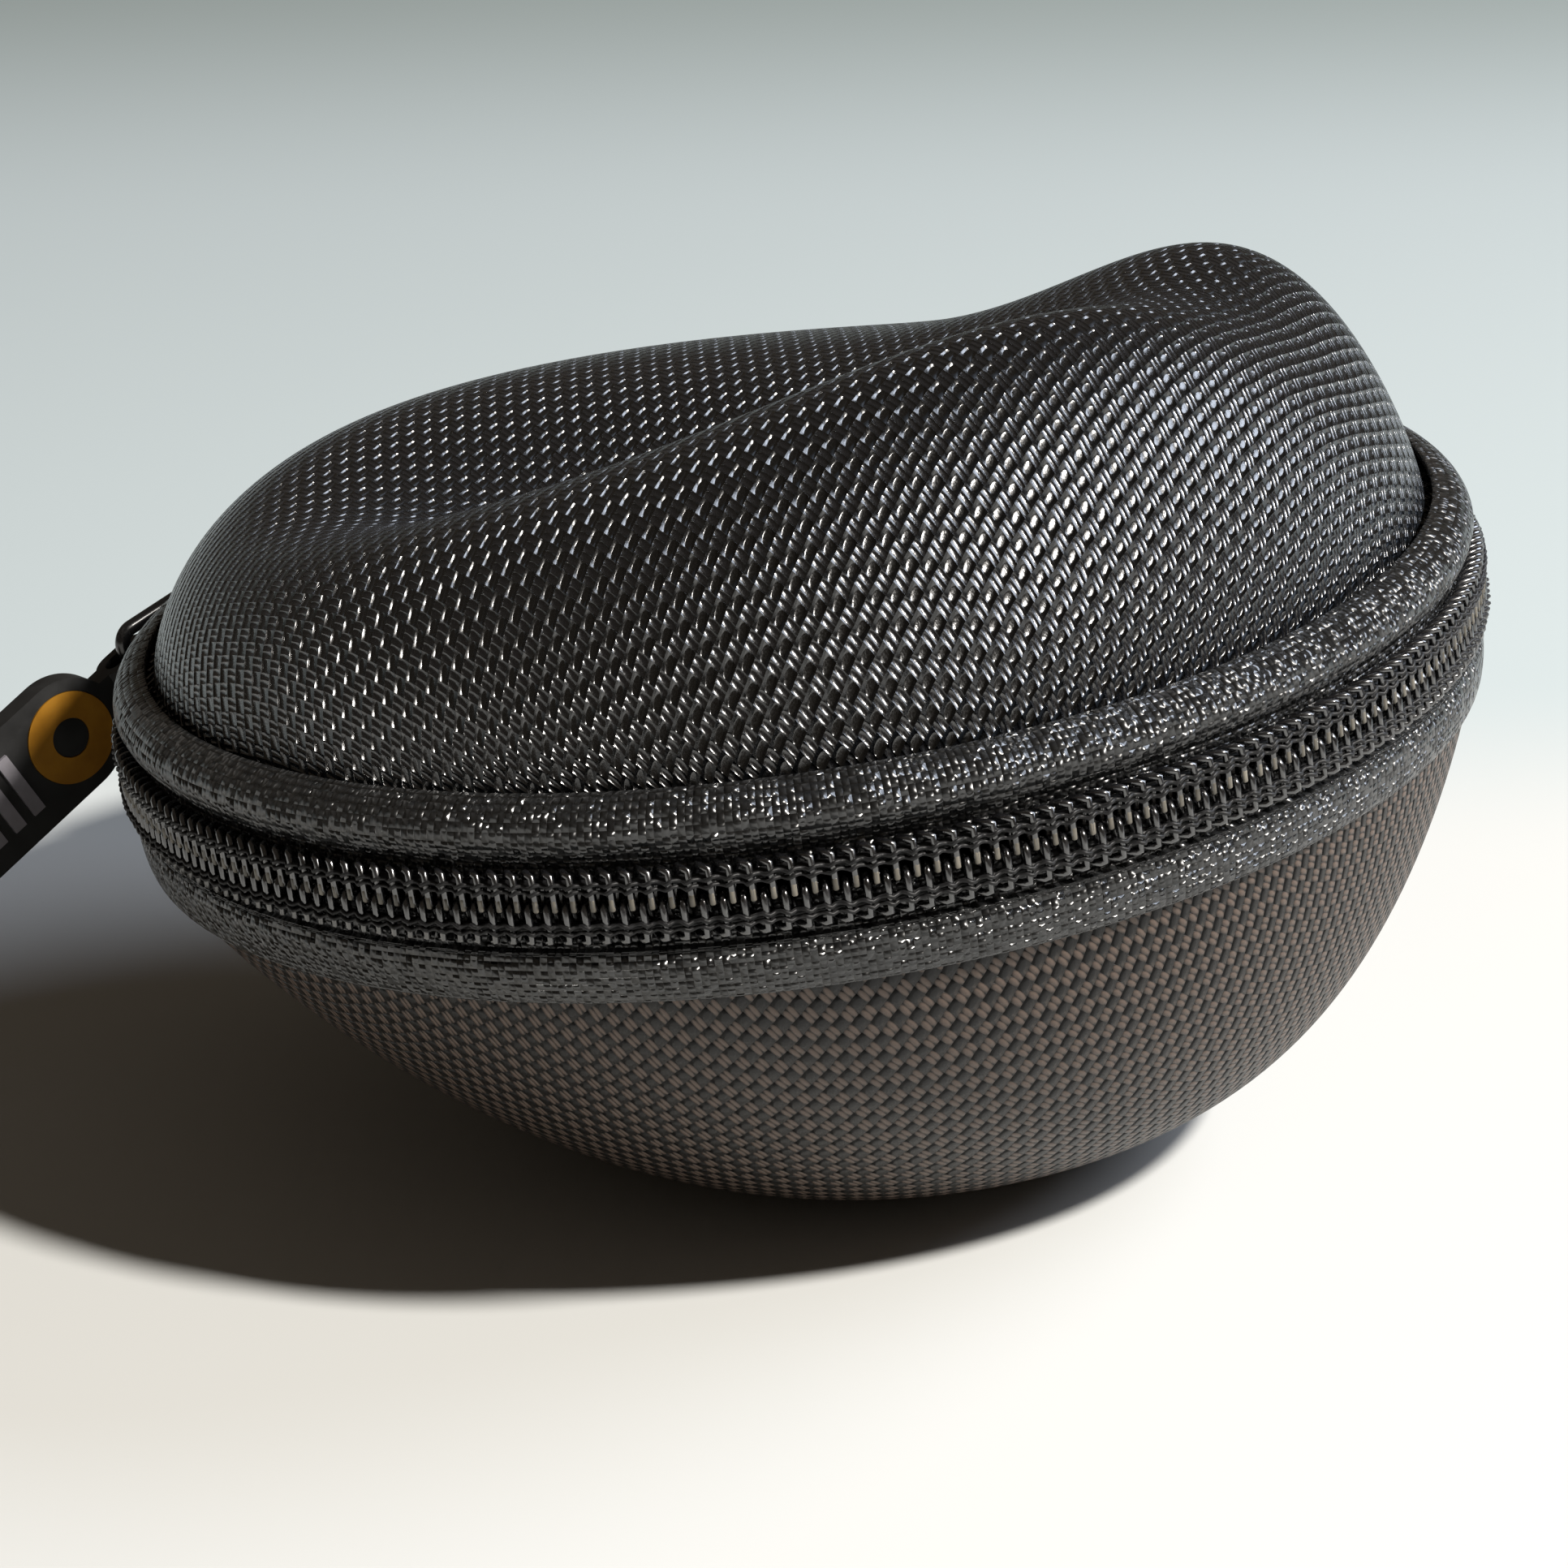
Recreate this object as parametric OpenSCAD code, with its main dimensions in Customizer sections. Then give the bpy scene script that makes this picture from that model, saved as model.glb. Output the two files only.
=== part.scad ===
// Headphone carrying case: a round zipped clamshell of woven nylon over
// moulded EVA foam. The lid is a saddle with a front lobe that climbs to the
// right, a valley behind it and a lower back lobe; the base is a smooth deep
// bowl that rests on a small flat, so the closed case leans right side up.
// The zip frame (rim circle in XY, zip plane z = 0) is built first and then
// leant and lifted by stand(), which puts the resting flat on z = 0.

/* [View] */
// Sub-part to draw

/* [Stance] */
// Lean of the rim plane, right side up (degrees)
rest_lean = 8.15; // [0:0.05:12]
// Height of the rim circle's centre above the resting flat
rim_height = 43.68; // [38:0.01:60]

/* [Lid] */
// How far inside the rim the lid shell leaves the zip tape
lid_inset = 4.55; // [3:0.05:8]
// Height above the zip plane where the lid shell leaves the tape
lid_start = 6.9; // [5:0.1:10]
// Mean crown height of the lid above that line
lid_crown = 15.19; // [8:0.01:40]
// Rise of the crown towards the right and towards the back, over one radius
lid_slope = [-4.21, -4.51]; // [-20:0.01:20]
// Fullness of the lid section (higher is squarer), then its shoulder exponent
lid_fullness = [4.82, 1.41]; // [1:0.01:8]
// Depth of the valley behind the front lobe
valley_depth = 11.53; // [0:0.01:25]
// Point on the valley line near its closed left end
valley_at = [-33.79, -6.84]; // [-60:0.01:60]
// Direction of the valley (degrees from +X)
valley_turn = -4.91; // [-45:0.01:45]
// Half width of the valley, then the length over which its left end closes
valley_spread = [12.06, 9.55]; // [4:0.01:30]
// Height of the front lobe's peak above the crown
lobe_rise = 24.2; // [0:0.01:40]
// Centre of the front lobe
lobe_at = [49.31, -8.31]; // [-60:0.01:60]
// Direction of the front lobe (degrees from +X)
lobe_turn = 33.82; // [-90:0.01:90]
// Length and half width of the front lobe
lobe_spread = [38.07, 19]; // [5:0.01:60]

/* [Base] */
// How far inside the rim the base bowl leaves the zip tape
bowl_inset = 1.75; // [1.5:0.05:6]
// Depth below the zip plane where the bowl leaves the tape
bowl_start = 7.6; // [5:0.1:10]
// Mean depth of the bowl below that line
bowl_depth = 32.51; // [15:0.01:60]
// Growth of the depth towards the right and towards the back, over one radius
bowl_slope = [11.85, 3.65]; // [-20:0.01:20]
// Fullness of the bowl section (higher is squarer), then its shoulder exponent
bowl_fullness = [3.81, 1.12]; // [0.8:0.01:8]
// Extra depth of the belly
belly_depth = 6.51; // [0:0.01:25]
// Lowest point of the belly
belly_at = [-9.05, -12.24]; // [-40:0.01:40]
// Spread of the belly
belly_spread = 26.26; // [8:0.01:40]

/* [Walls] */
// Thickness of the moulded nylon and foam laminate
wall_t = 3.2; // [1.5:0.1:6]
// Thickness of the brushed lining
lining_t = 0.8; // [0.5:0.1:2]
// Gap between the laid-up layers
layer_gap = 0.1; // [0.05:0.01:0.3]
// Height of the shell edge above and below the zip plane
edge_z = 5.2; // [4.5:0.1:7]
// Height of the lid's flange above its edge
flange_t = 1; // [0.4:0.1:1.4]

/* [Zip chain] */
// Radius over the closed coils
rim_r = 59.65; // [50:0.05:75]
// Distance between two turns of one coil
coil_pitch = 1.5; // [1:0.05:2.5]
// Diameter of the coil's monofilament
filament_d = 0.6; // [0.3:0.05:0.9]
// Thickness of a coil, through the chain
coil_t = 2; // [1.2:0.1:3]
// Reach of a coil turn from the centre line to its sewn side
coil_reach = 2.8; // [2:0.1:4]
// How far a turn's head passes the centre line
coil_mesh = 0.5; // [0.2:0.05:0.8]
// Bare tape from the hinge to the first turn of the chain (degrees)
chain_start_gap = 15.5; // [8:0.5:60]
// Bare tape from the last turn of the chain to the hinge (degrees)
chain_end_gap = 10; // [4:0.5:60]
// Diameter of the filler cord inside the turns
cord_d = 0.8; // [0.4:0.05:1]

/* [Zip tapes] */
// Thickness of the woven tape
tape_t = 0.5; // [0.3:0.05:1]
// Distance from the centre line to the tape's inner edge
tape_inner_z = 0.8; // [0.5:0.1:2]
// Height to which the tape stays upright beside the slider
tape_bend_z = 4.1; // [3.5:0.1:6]
// How far the tape swells out past that height
tape_swell = 1.4; // [0.2:0.05:2]
// Height of the widest point of the swell
tape_swell_z = 5.5; // [5:0.1:7]
// Upper tape: height of its free edge
upper_tape_z = 7.9; // [6:0.1:12]
// Upper tape: how far its free edge lies inside the rim
upper_tape_inset = 3.85; // [1:0.05:8]
// Lower tape: depth of its free edge
lower_tape_z = 8.1; // [6:0.1:12]
// Lower tape: how far its free edge lies inside the rim
lower_tape_inset = 1.2; // [0.5:0.05:8]
// How far the tapes run in under the hinge (degrees)
tape_lap = 3; // [1:0.5:10]
// Length of a crimped end stop along the chain
stop_len = 1.4; // [0.8:0.1:3]
// Gap from the last turn of the chain to its stop (degrees)
stop_gap = 0.34; // [0.3:0.02:2]

/* [Hinge] */
// Half angle of the fabric hinge at the back (degrees)
hinge_half = 44; // [15:1:60]
// Thickness of the hinge panel
hinge_t = 0.9; // [0.5:0.1:2]
// Half gap between the two leaves at the fold
fold_gap = 0.2; // [0.15:0.05:0.5]

/* [Slider and pull] */
// How far the closed slider's middle lies past the first turn (degrees)
slider_lead = 0.5; // [0:0.1:3]
// Length of the slider
slider_len = 12; // [8:0.5:16]
// Width of the slider across the chain
slider_w = 7.6; // [6:0.1:12]
// Thickness of the slider's plates
plate_t = 1; // [0.6:0.05:1.5]
// Running clearance of the slider
slide_gap = 0.3; // [0.2:0.05:0.6]
// Thickness of the slider's inner plate
inner_plate_t = 0.85; // [0.5:0.05:1.5]
// Length, then thickness of the wedge that parts the coils
wedge = [3, 1.2]; // [0.6:0.1:5]
// Height of the pull ring's pivot above the slider
pivot_rise = 1.6; // [1.4:0.05:3]
// Width of the bridge along the slider's cross axis
bridge_w = 2.4; // [1.5:0.1:4]
// Length of the bridge along the slider
bridge_len = 8; // [6:0.1:11]
// Thickness of the bridge's legs
bridge_t = 1; // [0.6:0.05:2]
// Wire diameter of the pull ring
ring_wire = 1.4; // [0.8:0.1:2]
// Length of the pull ring between bar centres
ring_len = 9.5; // [8:0.5:16]
// Width of the pull ring between bar centres
ring_w = 7.8; // [5:0.1:12]
// Swing of the pull ring from straight out (degrees)
ring_swing = 65; // [-90:1:90]
// Tilt of the pull ring in the bridge (degrees)
ring_tilt = 14; // [0:1:15]
// Droop of the pull tab in the ring (degrees)
tab_droop = 10; // [-18:1:18]
// Width of the pull tab
tab_w = 11.3; // [7:0.1:16]
// Length of the pull tab beyond its shoulder
tab_len = 26; // [20:1:50]
// Thickness of the pull tab
tab_t = 2.4; // [1.5:0.1:4]
// Width of the tab's looped neck
neck_w = 4.2; // [2.5:0.1:4.4]
// Length of the neck, from the ring's bar to the tab's shoulder
neck_len = 3.4; // [2.5:0.1:6]
// Outer diameter of the ochre inlay ring
inlay_d = 8.8; // [4:0.1:10]
// Inner diameter of the ochre inlay ring
inlay_hole = 3.8; // [2:0.1:6]
// Number of grip bars on each face
bar_count = 5; // [1:1:6]
// Distance between two grip bars
bar_step = 2.4; // [1.6:0.1:4]
// Width of a grip bar along the tab, then its length across it
bar_size = [1.3, 6.6]; // [0.8:0.1:10]

/* [Lid pocket] */
// Thickness of the pocket net
net_t = 0.6; // [0.3:0.1:1]
// Height of the pocket net above the zip plane
net_z = 6.4; // [5.5:0.1:9]
// Distance of the pocket mouth in front of the rim's middle
mouth_y = 4; // [0:0.5:20]
// Width of the elastic along the pocket mouth
elastic_w = 7; // [4:0.5:12]
// Thickness of each side of the elastic
elastic_t = 0.7; // [0.4:0.1:1.2]

/* [Hidden] */

$fn = 96;
around = 60;                 // facets round a shell
outer_rings = 15;            // rings from crown to rim, outside
inner_rings = 9;             // rings from crown to rim, inside and lining
coil_in = rim_r - coil_t;    // inner radius of the coils
tape_r = coil_in - 0.05;     // outer radius of the upright tape
pitch_deg = coil_pitch / (rim_r - coil_t / 2) * 180 / PI;
hinge_at = 90;               // middle of the hinge, at the back
chain_first = hinge_at + hinge_half + chain_start_gap;
chain_last = hinge_at + 360 - hinge_half - chain_end_gap;
slider_at = chain_first + slider_lead;
turns = floor((chain_last - chain_first) / pitch_deg);
lid_r = rim_r - lid_inset;
bowl_r = rim_r - bowl_inset;
upper_tape_edge = [upper_tape_z, rim_r - upper_tape_inset];
lower_tape_edge = [lower_tape_z, rim_r - lower_tape_inset];
upper_shell_edge_r = tape_r - tape_t - 0.85;
lower_shell_edge_r = tape_r - tape_t + 0.05;
swell_r = tape_r + tape_swell;           // over the swell of the tapes
upper_flange_r = swell_r - tape_t - 0.75;
lower_flange_r = swell_r - tape_t - 0.4;
plate_in = rim_r + slide_gap;            // underside of the outer plate
plate_out = plate_in + plate_t;
bottom_plate_out = tape_r - tape_t - slide_gap;
bottom_plate_in = bottom_plate_out - inner_plate_t;
pivot_r = plate_out + pivot_rise;        // pull ring's pivot in the bridge
pocket_r = upper_shell_edge_r - wall_t - layer_gap - lining_t - 1.1;
inlay_x = neck_len + tab_w / 2;          // ring's bar to the inlay's centre
bar_x = inlay_x + (inlay_d + 4.4) / 2;   // first grip bar

nylon = [0.07, 0.07, 0.08];
tape_col = [0.12, 0.12, 0.125];
coil_col = [0.05, 0.05, 0.055];
lining_col = [0.16, 0.16, 0.17];
metal_col = [0.1, 0.1, 0.1];

// ---------- placing ----------
module stand() translate([0, 0, rim_height]) rotate([0, -rest_lean, 0]) children();
module at_slider() stand() rotate([0, 0, slider_at]) children();
module at_ring() at_slider() translate([pivot_r, 0, 0]) rotate([0, 0, ring_swing]) rotate([0, ring_tilt, 0]) children();
module at_tab() at_ring() translate([ring_len, 0, 0]) rotate([0, tab_droop, 0]) children();

// ---------- shell forms ----------
function bump(x, y, c, turn, s) =
  let (u = (x - c[0]) * cos(turn) + (y - c[1]) * sin(turn),
       v = -(x - c[0]) * sin(turn) + (y - c[1]) * cos(turn))
  exp(-(pow(u / s[0], 2) + pow(v / s[1], 2)) / 2);

function valley(x, y) =
  let (u = (x - valley_at[0]) * cos(valley_turn) + (y - valley_at[1]) * sin(valley_turn),
       v = -(x - valley_at[0]) * sin(valley_turn) + (y - valley_at[1]) * cos(valley_turn))
  exp(-pow(v / valley_spread[0], 2) / 2) / (1 + exp(-u / valley_spread[1]));

function section(p, f) = pow(max(0, 1 - pow(p, f[0])), 1 / f[1]);

// Crown of the lid and depth of the bowl over a point of the plan
function lid_h(x, y) = lid_crown + lid_slope[0] * x / 60 + lid_slope[1] * y / 60
  - valley_depth * valley(x, y) + lobe_rise * bump(x, y, lobe_at, lobe_turn, lobe_spread);
function bowl_h(x, y) = bowl_depth + bowl_slope[0] * x / 60 + bowl_slope[1] * y / 60
  + belly_depth * bump(x, y, belly_at, 0, [belly_spread, belly_spread]);
// Depth at which the resting flat cuts the bowl
function flat_depth(x) = (rim_height + x * sin(rest_lean)) / cos(rest_lean);

// Rings of points from the crown out; they close up towards the rim
function ring_p(i, n) = 1 - pow(1 - i / n, 1.7);
function lid_rings(r, z0, drop, n) = [for (i = [0:n]) let (p = ring_p(i, n))
  [for (j = [0:around - 1]) let (a = j * 360 / around, x = r * p * cos(a), y = r * p * sin(a))
    [x, y, z0 + (lid_h(x, y) + lid_start - z0 - drop) * section(p, lid_fullness)]]];
function bowl_rings(r, z0, drop, n) = [for (i = [0:n]) let (p = ring_p(i, n))
  [for (j = [0:around - 1]) let (a = j * 360 / around, x = r * p * cos(a), y = r * p * sin(a))
    [x, y, min(z0 + (bowl_h(x, y) + bowl_start - z0 - drop) * section(p, bowl_fullness),
      flat_depth(x) - drop)]]];
function edge_ring(r, z) = [for (j = [0:around - 1]) let (a = j * 360 / around) [r * cos(a), r * sin(a), z]];

// A skin between two stacks of rings, closed along their last rings
module skin(top, under) {
  m = around; nt = len(top); nu = len(under); b = 1 + (nt - 1) * m;
  rows = concat([for (i = [1:nt - 1]) 1 + (i - 1) * m], [b + 1 + (nu - 2) * m]);
  pts = concat([top[0][0]], [for (i = [1:nt - 1]) each top[i]],
    [under[0][0]], [for (i = [1:nu - 1]) each under[i]]);
  polyhedron(points = pts, faces = concat(
    [for (j = [0:m - 1]) [0, 1 + (j + 1) % m, 1 + j]],
    [for (i = [0:len(rows) - 2]) for (j = [0:m - 1]) let (k = (j + 1) % m) each
      [[rows[i] + j, rows[i] + k, rows[i + 1] + k], [rows[i] + j, rows[i + 1] + k, rows[i + 1] + j]]],
    [for (i = [1:nu - 2]) for (j = [0:m - 1]) let (k = (j + 1) % m, q = b + 1 + (i - 1) * m) each
      [[q + j, q + m + k, q + k], [q + j, q + m + j, q + m + k]]],
    [for (j = [0:m - 1]) [b, b + 1 + j, b + 1 + (j + 1) % m]]), convexity = 8);
}

module lid_layer(r_out, r_in, drop_out, drop_in) skin(
  lid_rings(r_out, edge_z, drop_out, inner_rings),
  lid_rings(r_in, edge_z, drop_in, inner_rings));
module bowl_layer(r_out, r_in, drop_out, drop_in) mirror([0, 0, 1]) skin(
  bowl_rings(r_out, edge_z, drop_out, inner_rings),
  bowl_rings(r_in, edge_z, drop_in, inner_rings));

module upper_shell() color(nylon) stand() skin(
  concat(lid_rings(lid_r, lid_start, 0, outer_rings),
    [edge_ring(upper_flange_r, edge_z + flange_t), edge_ring(upper_flange_r, edge_z)]),
  lid_rings(upper_shell_edge_r - wall_t, edge_z, wall_t, inner_rings));
module lower_shell() color(nylon) stand() mirror([0, 0, 1]) skin(
  concat(bowl_rings(bowl_r, bowl_start, 0, outer_rings), [edge_ring(lower_flange_r, edge_z)]),
  bowl_rings(lower_shell_edge_r - wall_t, edge_z, wall_t, inner_rings));
module upper_lining() color(lining_col) stand() let (r = upper_shell_edge_r - wall_t - layer_gap)
  lid_layer(r, r - lining_t, wall_t + layer_gap, wall_t + layer_gap + lining_t);
module lower_lining() color(lining_col) stand() let (r = lower_shell_edge_r - wall_t - layer_gap)
  bowl_layer(r, r - lining_t, wall_t + layer_gap, wall_t + layer_gap + lining_t);

// ---------- bands round the rim ----------
// Sweeps a section (radius, height) round the rim from one angle to another
module rim_sweep(from, to) rotate([0, 0, from]) rotate_extrude(angle = to - from, $fn = 180) children();

// Binding that wraps the edge of shell and lining
module edge_binding(r_out) {
  r_in = r_out - wall_t - layer_gap - lining_t;
  rotate_extrude($fn = 180) polygon([
    [r_in - 0.9, edge_z - 0.6], [r_out, edge_z - 0.6], [r_out, edge_z - 0.05],
    [r_in - 0.35, edge_z - 0.05], [r_in - 0.35, edge_z + 0.7], [r_in - 0.9, edge_z + 0.7]]);
}
module upper_binding() color(tape_col) stand() edge_binding(upper_shell_edge_r - 0.2);
module lower_binding() color(tape_col) stand() mirror([0, 0, 1]) edge_binding(lower_shell_edge_r - 0.9);

// Tape: upright beside the coil, then swelling out and laid over the shell.
// out moves it outwards and low brings its swell nearer to the zip plane.
module tape_section(edge, out = 0, t = tape_t, start = tape_inner_z, low = 0) {
  r = tape_r + out; crest = swell_r + out; z0 = tape_bend_z - low; z1 = tape_swell_z - low / 4;
  end = 80; de = (crest - edge[1] - out) / (1 - cos(end)); dz = (edge[0] - z1) / sin(end);
  mid = [r + 0.7 * tape_swell, z0 + 0.45 * (z1 - z0)];
  lay = [for (f = [0, 15, 30, 45, 60, end]) let (n = [dz * cos(f), de * sin(f)])
    [[crest - de * (1 - cos(f)), z1 + dz * sin(f)], n / norm(n)]];
  polygon(concat([[r - t, start], [r, start], [r, z0], mid], [for (l = lay) l[0]],
    [for (i = [len(lay) - 1:-1:0]) lay[i][0] - t * lay[i][1]],
    [mid - t * [0.84, -0.54], [r - t, z0 + 0.41 * t]]));
}
module tape_sweep()
  rim_sweep(hinge_at + hinge_half - tape_lap, hinge_at + 360 - hinge_half + tape_lap) children();
module upper_zip_tape() color(tape_col) stand() tape_sweep() tape_section(upper_tape_edge);
module lower_zip_tape() color(tape_col) stand() mirror([0, 0, 1]) tape_sweep()
  tape_section(lower_tape_edge);

// One turn of a coil: a slot-shaped loop round the filler cord
module coil_turn() {
  r = coil_t / 2; h = (coil_reach + coil_mesh) / 2 - r;
  rotate([90, 0, 0]) linear_extrude(filament_d, center = true) difference() {
    slot2d(r, h);
    slot2d(r - filament_d, h);
  }
}
module slot2d(r, h) {
  translate([0, h]) circle(r, $fn = 32);
  translate([0, -h]) circle(r, $fn = 32);
  square([2 * r, 2 * h], center = true);
}
module coil(shift) {
  mid = (coil_reach - coil_mesh) / 2;
  for (k = [0:turns - 1]) rotate([0, 0, chain_first + (k + shift) * pitch_deg])
    translate([rim_r - coil_t / 2, 0, mid]) coil_turn();
}
module upper_zip_coil() color(coil_col) stand() coil(0);
module lower_zip_coil() color(coil_col) stand() mirror([0, 0, 1]) coil(0.5);

module coil_cord() rim_sweep(chain_first - 0.4, chain_last + 0.2)
  translate([rim_r - coil_t / 2, coil_reach - filament_d - cord_d / 2 - 0.15]) circle(d = cord_d - 0.1, $fn = 24);
module upper_coil_cord() color(tape_col) stand() coil_cord();
module lower_coil_cord() color(tape_col) stand() mirror([0, 0, 1]) coil_cord();

// Crimped stops past both ends of the chain
module end_stops() {
  reach = stop_len / rim_r * 180 / PI;
  park = slider_len / 2 / plate_out * 180 / PI + 0.7;
  crimp = 0.04;                          // clearance of the stop on the tape
  leg = 0.41;                            // thickness of the stop's inner leg
  for (a = [slider_at - park - reach, chain_last + stop_gap])
    rim_sweep(a, a + reach) difference() {
      translate([tape_r - tape_t - crimp - leg, slide_gap]) square([coil_t + 0.6, coil_reach - 0.1]);
      translate([tape_r - tape_t - crimp, tape_inner_z - crimp]) square([tape_t + 2 * crimp, coil_reach + 1]);
    }
}
module upper_end_stops() color(metal_col) stand() end_stops();
module lower_end_stops() color(metal_col) stand() mirror([0, 0, 1]) end_stops();

// ---------- fabric hinge ----------
module hinge_leaf(edge) rim_sweep(hinge_at - hinge_half, hinge_at + hinge_half)
  tape_section(edge, hinge_t + layer_gap, hinge_t, fold_gap, hinge_t - 0.1);
module upper_hinge_panel() color(nylon) stand() hinge_leaf([upper_tape_edge[0] + 0.8, upper_tape_edge[1]]);
module lower_hinge_panel() color(nylon) stand() mirror([0, 0, 1])
  hinge_leaf([lower_tape_edge[0] + 0.8, lower_tape_edge[1]]);
module inner_leaf() rim_sweep(hinge_at - hinge_half, hinge_at + hinge_half)
  translate([tape_r - tape_t - layer_gap - 0.7, fold_gap + 0.2]) square([0.7, edge_z - 1.0 - fold_gap]);
module upper_hinge_lining() color(lining_col) stand() inner_leaf();
module lower_hinge_lining() color(lining_col) stand() mirror([0, 0, 1]) inner_leaf();

// ---------- lid pocket ----------
module front_segment(r, t) intersection() {
  cylinder(r = r, h = t, $fn = 120);
  translate([-r, -r - mouth_y, -1]) cube([2 * r, r, t + 2]);
}
module pocket_mesh() color([0.1, 0.1, 0.11]) stand() translate([0, 0, net_z]) front_segment(pocket_r, net_t);
module pocket_elastic() color(lining_col) stand() {
  half = sqrt(pow(pocket_r, 2) - pow(mouth_y + elastic_w, 2)) - 0.4;
  for (z = [net_z - 0.05 - elastic_t, net_z + net_t + 0.05])
    translate([-half, -mouth_y - elastic_w, z]) cube([2 * half, elastic_w, elastic_t]);
}

// ---------- slider and pull ----------
module slider_outline() {
  l = slider_len / 2; w = slider_w / 2;
  polygon([[-l, 0.72 * w], [-0.87 * l, w], [-0.2 * l, w], [0.75 * l, 0.84 * w], [l, 0.62 * w],
    [l, -0.62 * w], [0.75 * l, -0.84 * w], [-0.2 * l, -w], [-0.87 * l, -w], [-l, -0.72 * w]]);
}
module slider_body() color(metal_col) at_slider() {
  w = slider_w / 2 + 0.1; lip_in = tape_r + 1.5 * slide_gap; lip_z = coil_reach + slide_gap + 0.1;
  wedge_x = -slider_len / 2 + 0.6 + wedge[0] / 2; half = wedge[0] / 2; tip = wedge[1] / 2;
  intersection() {
    rotate([90, 0, 90]) linear_extrude(plate_out + 1) slider_outline();
    rotate([0, 0, -10]) rotate_extrude(angle = 20, $fn = 180) {
      polygon([[plate_out, -w], [plate_out, w], [lip_in, w], [lip_in, lip_z], [plate_in, lip_z],
        [plate_in, -lip_z], [lip_in, -lip_z], [lip_in, -w]]);
      translate([bottom_plate_in, -w]) square([bottom_plate_out - bottom_plate_in, 2 * w]);
    }
  }
  // wedge that parts and meshes the coils
  translate([bottom_plate_out - 0.3, 0, 0]) rotate([90, 0, 90])
    linear_extrude(plate_in - bottom_plate_out + 0.6)
      polygon([[wedge_x - half, 0], [wedge_x - 0.47 * half, -tip], [wedge_x + 0.4 * half, -tip],
        [wedge_x + half, 0], [wedge_x + 0.4 * half, tip], [wedge_x - 0.47 * half, tip]]);
}
module arch2d(half, top, corner) {
  translate([plate_in, -half]) square([top - corner - plate_in, 2 * half]);
  translate([plate_in, -half + corner]) square([top - plate_in, 2 * (half - corner)]);
  for (s = [-1, 1]) translate([top - corner, s * (half - corner)]) circle(corner, $fn = 32);
}
module slider_bridge() color(metal_col) at_slider() difference() {
  linear_extrude(bridge_w, center = true) difference() {
    arch2d(bridge_len / 2, pivot_r + ring_wire / 2 + 0.4 + bridge_t, 1.6);
    arch2d(bridge_len / 2 - bridge_t, pivot_r + ring_wire / 2 + 0.4, 0.9);
  }
  cylinder(r = plate_out + 0.02, h = 10, center = true, $fn = 180);
}
// Rounded wire ring in the local XZ plane, near bar on the origin
module pull_ring() color(metal_col) at_ring() {
  c = 1.6; r = ring_wire / 2; w = ring_w / 2;
  for (x = [0, ring_len]) translate([x, 0, -w + c]) cylinder(r = r, h = 2 * (w - c), $fn = 32);
  for (z = [-w, w]) translate([c, 0, z]) rotate([0, 90, 0]) cylinder(r = r, h = ring_len - 2 * c, $fn = 32);
  for (k = [[c, -w + c, 180], [ring_len - c, -w + c, 270], [ring_len - c, w - c, 0], [c, w - c, 90]])
    translate([k[0], 0, k[1]]) rotate([90, 0, 0]) mirror([0, 0, 1]) rotate([0, 0, k[2]])
      rotate_extrude(angle = 90, $fn = 48) translate([c, 0]) circle(r, $fn = 32);
}
module rounded2d(x0, x1, half, c0, c1) {
  translate([x0, -half + c0]) square([c0, 2 * (half - c0)]);
  translate([x0 + c0, -half]) square([x1 - x0 - c0 - c1, 2 * half]);
  translate([x1 - c1, -half + c1]) square([c1, 2 * (half - c1)]);
  for (s = [-1, 1]) {
    translate([x0 + c0, s * (half - c0)]) circle(c0, $fn = 48);
    translate([x1 - c1, s * (half - c1)]) circle(c1, $fn = 48);
  }
}
// Strap: a looped neck round the ring's far bar, then the flat tab
module pull_tab() color([0.04, 0.04, 0.045]) at_tab() difference() {
  union() {
    translate([0, tab_t / 2, 0]) rotate([90, 0, 0]) linear_extrude(tab_t)
      rounded2d(neck_len, neck_len + tab_len, tab_w / 2, tab_w / 2 - 0.01, 2.5);
    translate([0, 0, -neck_w / 2]) linear_extrude(neck_w) union() {
      translate([-1, 0]) circle(2, $fn = 48);
      translate([1, 0]) circle(2, $fn = 48);
      square([2, 4], center = true);
      translate([0, -tab_t / 2]) square([neck_len + 2, tab_t]);
    }
  }
  linear_extrude(neck_w + 2, center = true) {
    for (s = [-1, 1]) translate([s, 0]) circle(1, $fn = 48);
    square([2, 2], center = true);
  }
  translate([inlay_x, 0, 0]) rotate([90, 0, 0]) inlay_groove();
  for (s = [-1, 1]) bars(s * (tab_t / 2 - 0.2), 0.4, 0.08);
}
// Grooves for the inlay ring, one in each face
module inlay_groove() for (s = [-1, 1]) translate([0, 0, s * (tab_t / 2 - 0.15)]) difference() {
  cylinder(d = inlay_d + 0.1, h = 0.5, center = true, $fn = 64);
  cylinder(d = inlay_hole - 0.1, h = 2, center = true, $fn = 64);
}
module tab_inlay_ring() color([0.56, 0.38, 0.06]) at_tab() translate([inlay_x, 0, 0]) rotate([90, 0, 0])
  for (s = [-1, 1]) translate([0, 0, s * (tab_t / 2 - 0.1)]) difference() {
    cylinder(d = inlay_d, h = 0.44, center = true, $fn = 64);
    cylinder(d = inlay_hole, h = 2, center = true, $fn = 64);
  }
// Raised grip bars across the outer part of the tab
module bars(y, depth, grow) for (k = [0:bar_count - 1]) translate([bar_x + bar_step * k, y, 0])
  cube([bar_size[0] + grow, depth, bar_size[1] + grow], center = true);
module tab_grip_bars() color([0.5, 0.48, 0.52]) at_tab() for (s = [-1, 1]) bars(s * (tab_t / 2 + 0.02), 0.6, 0);

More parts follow.
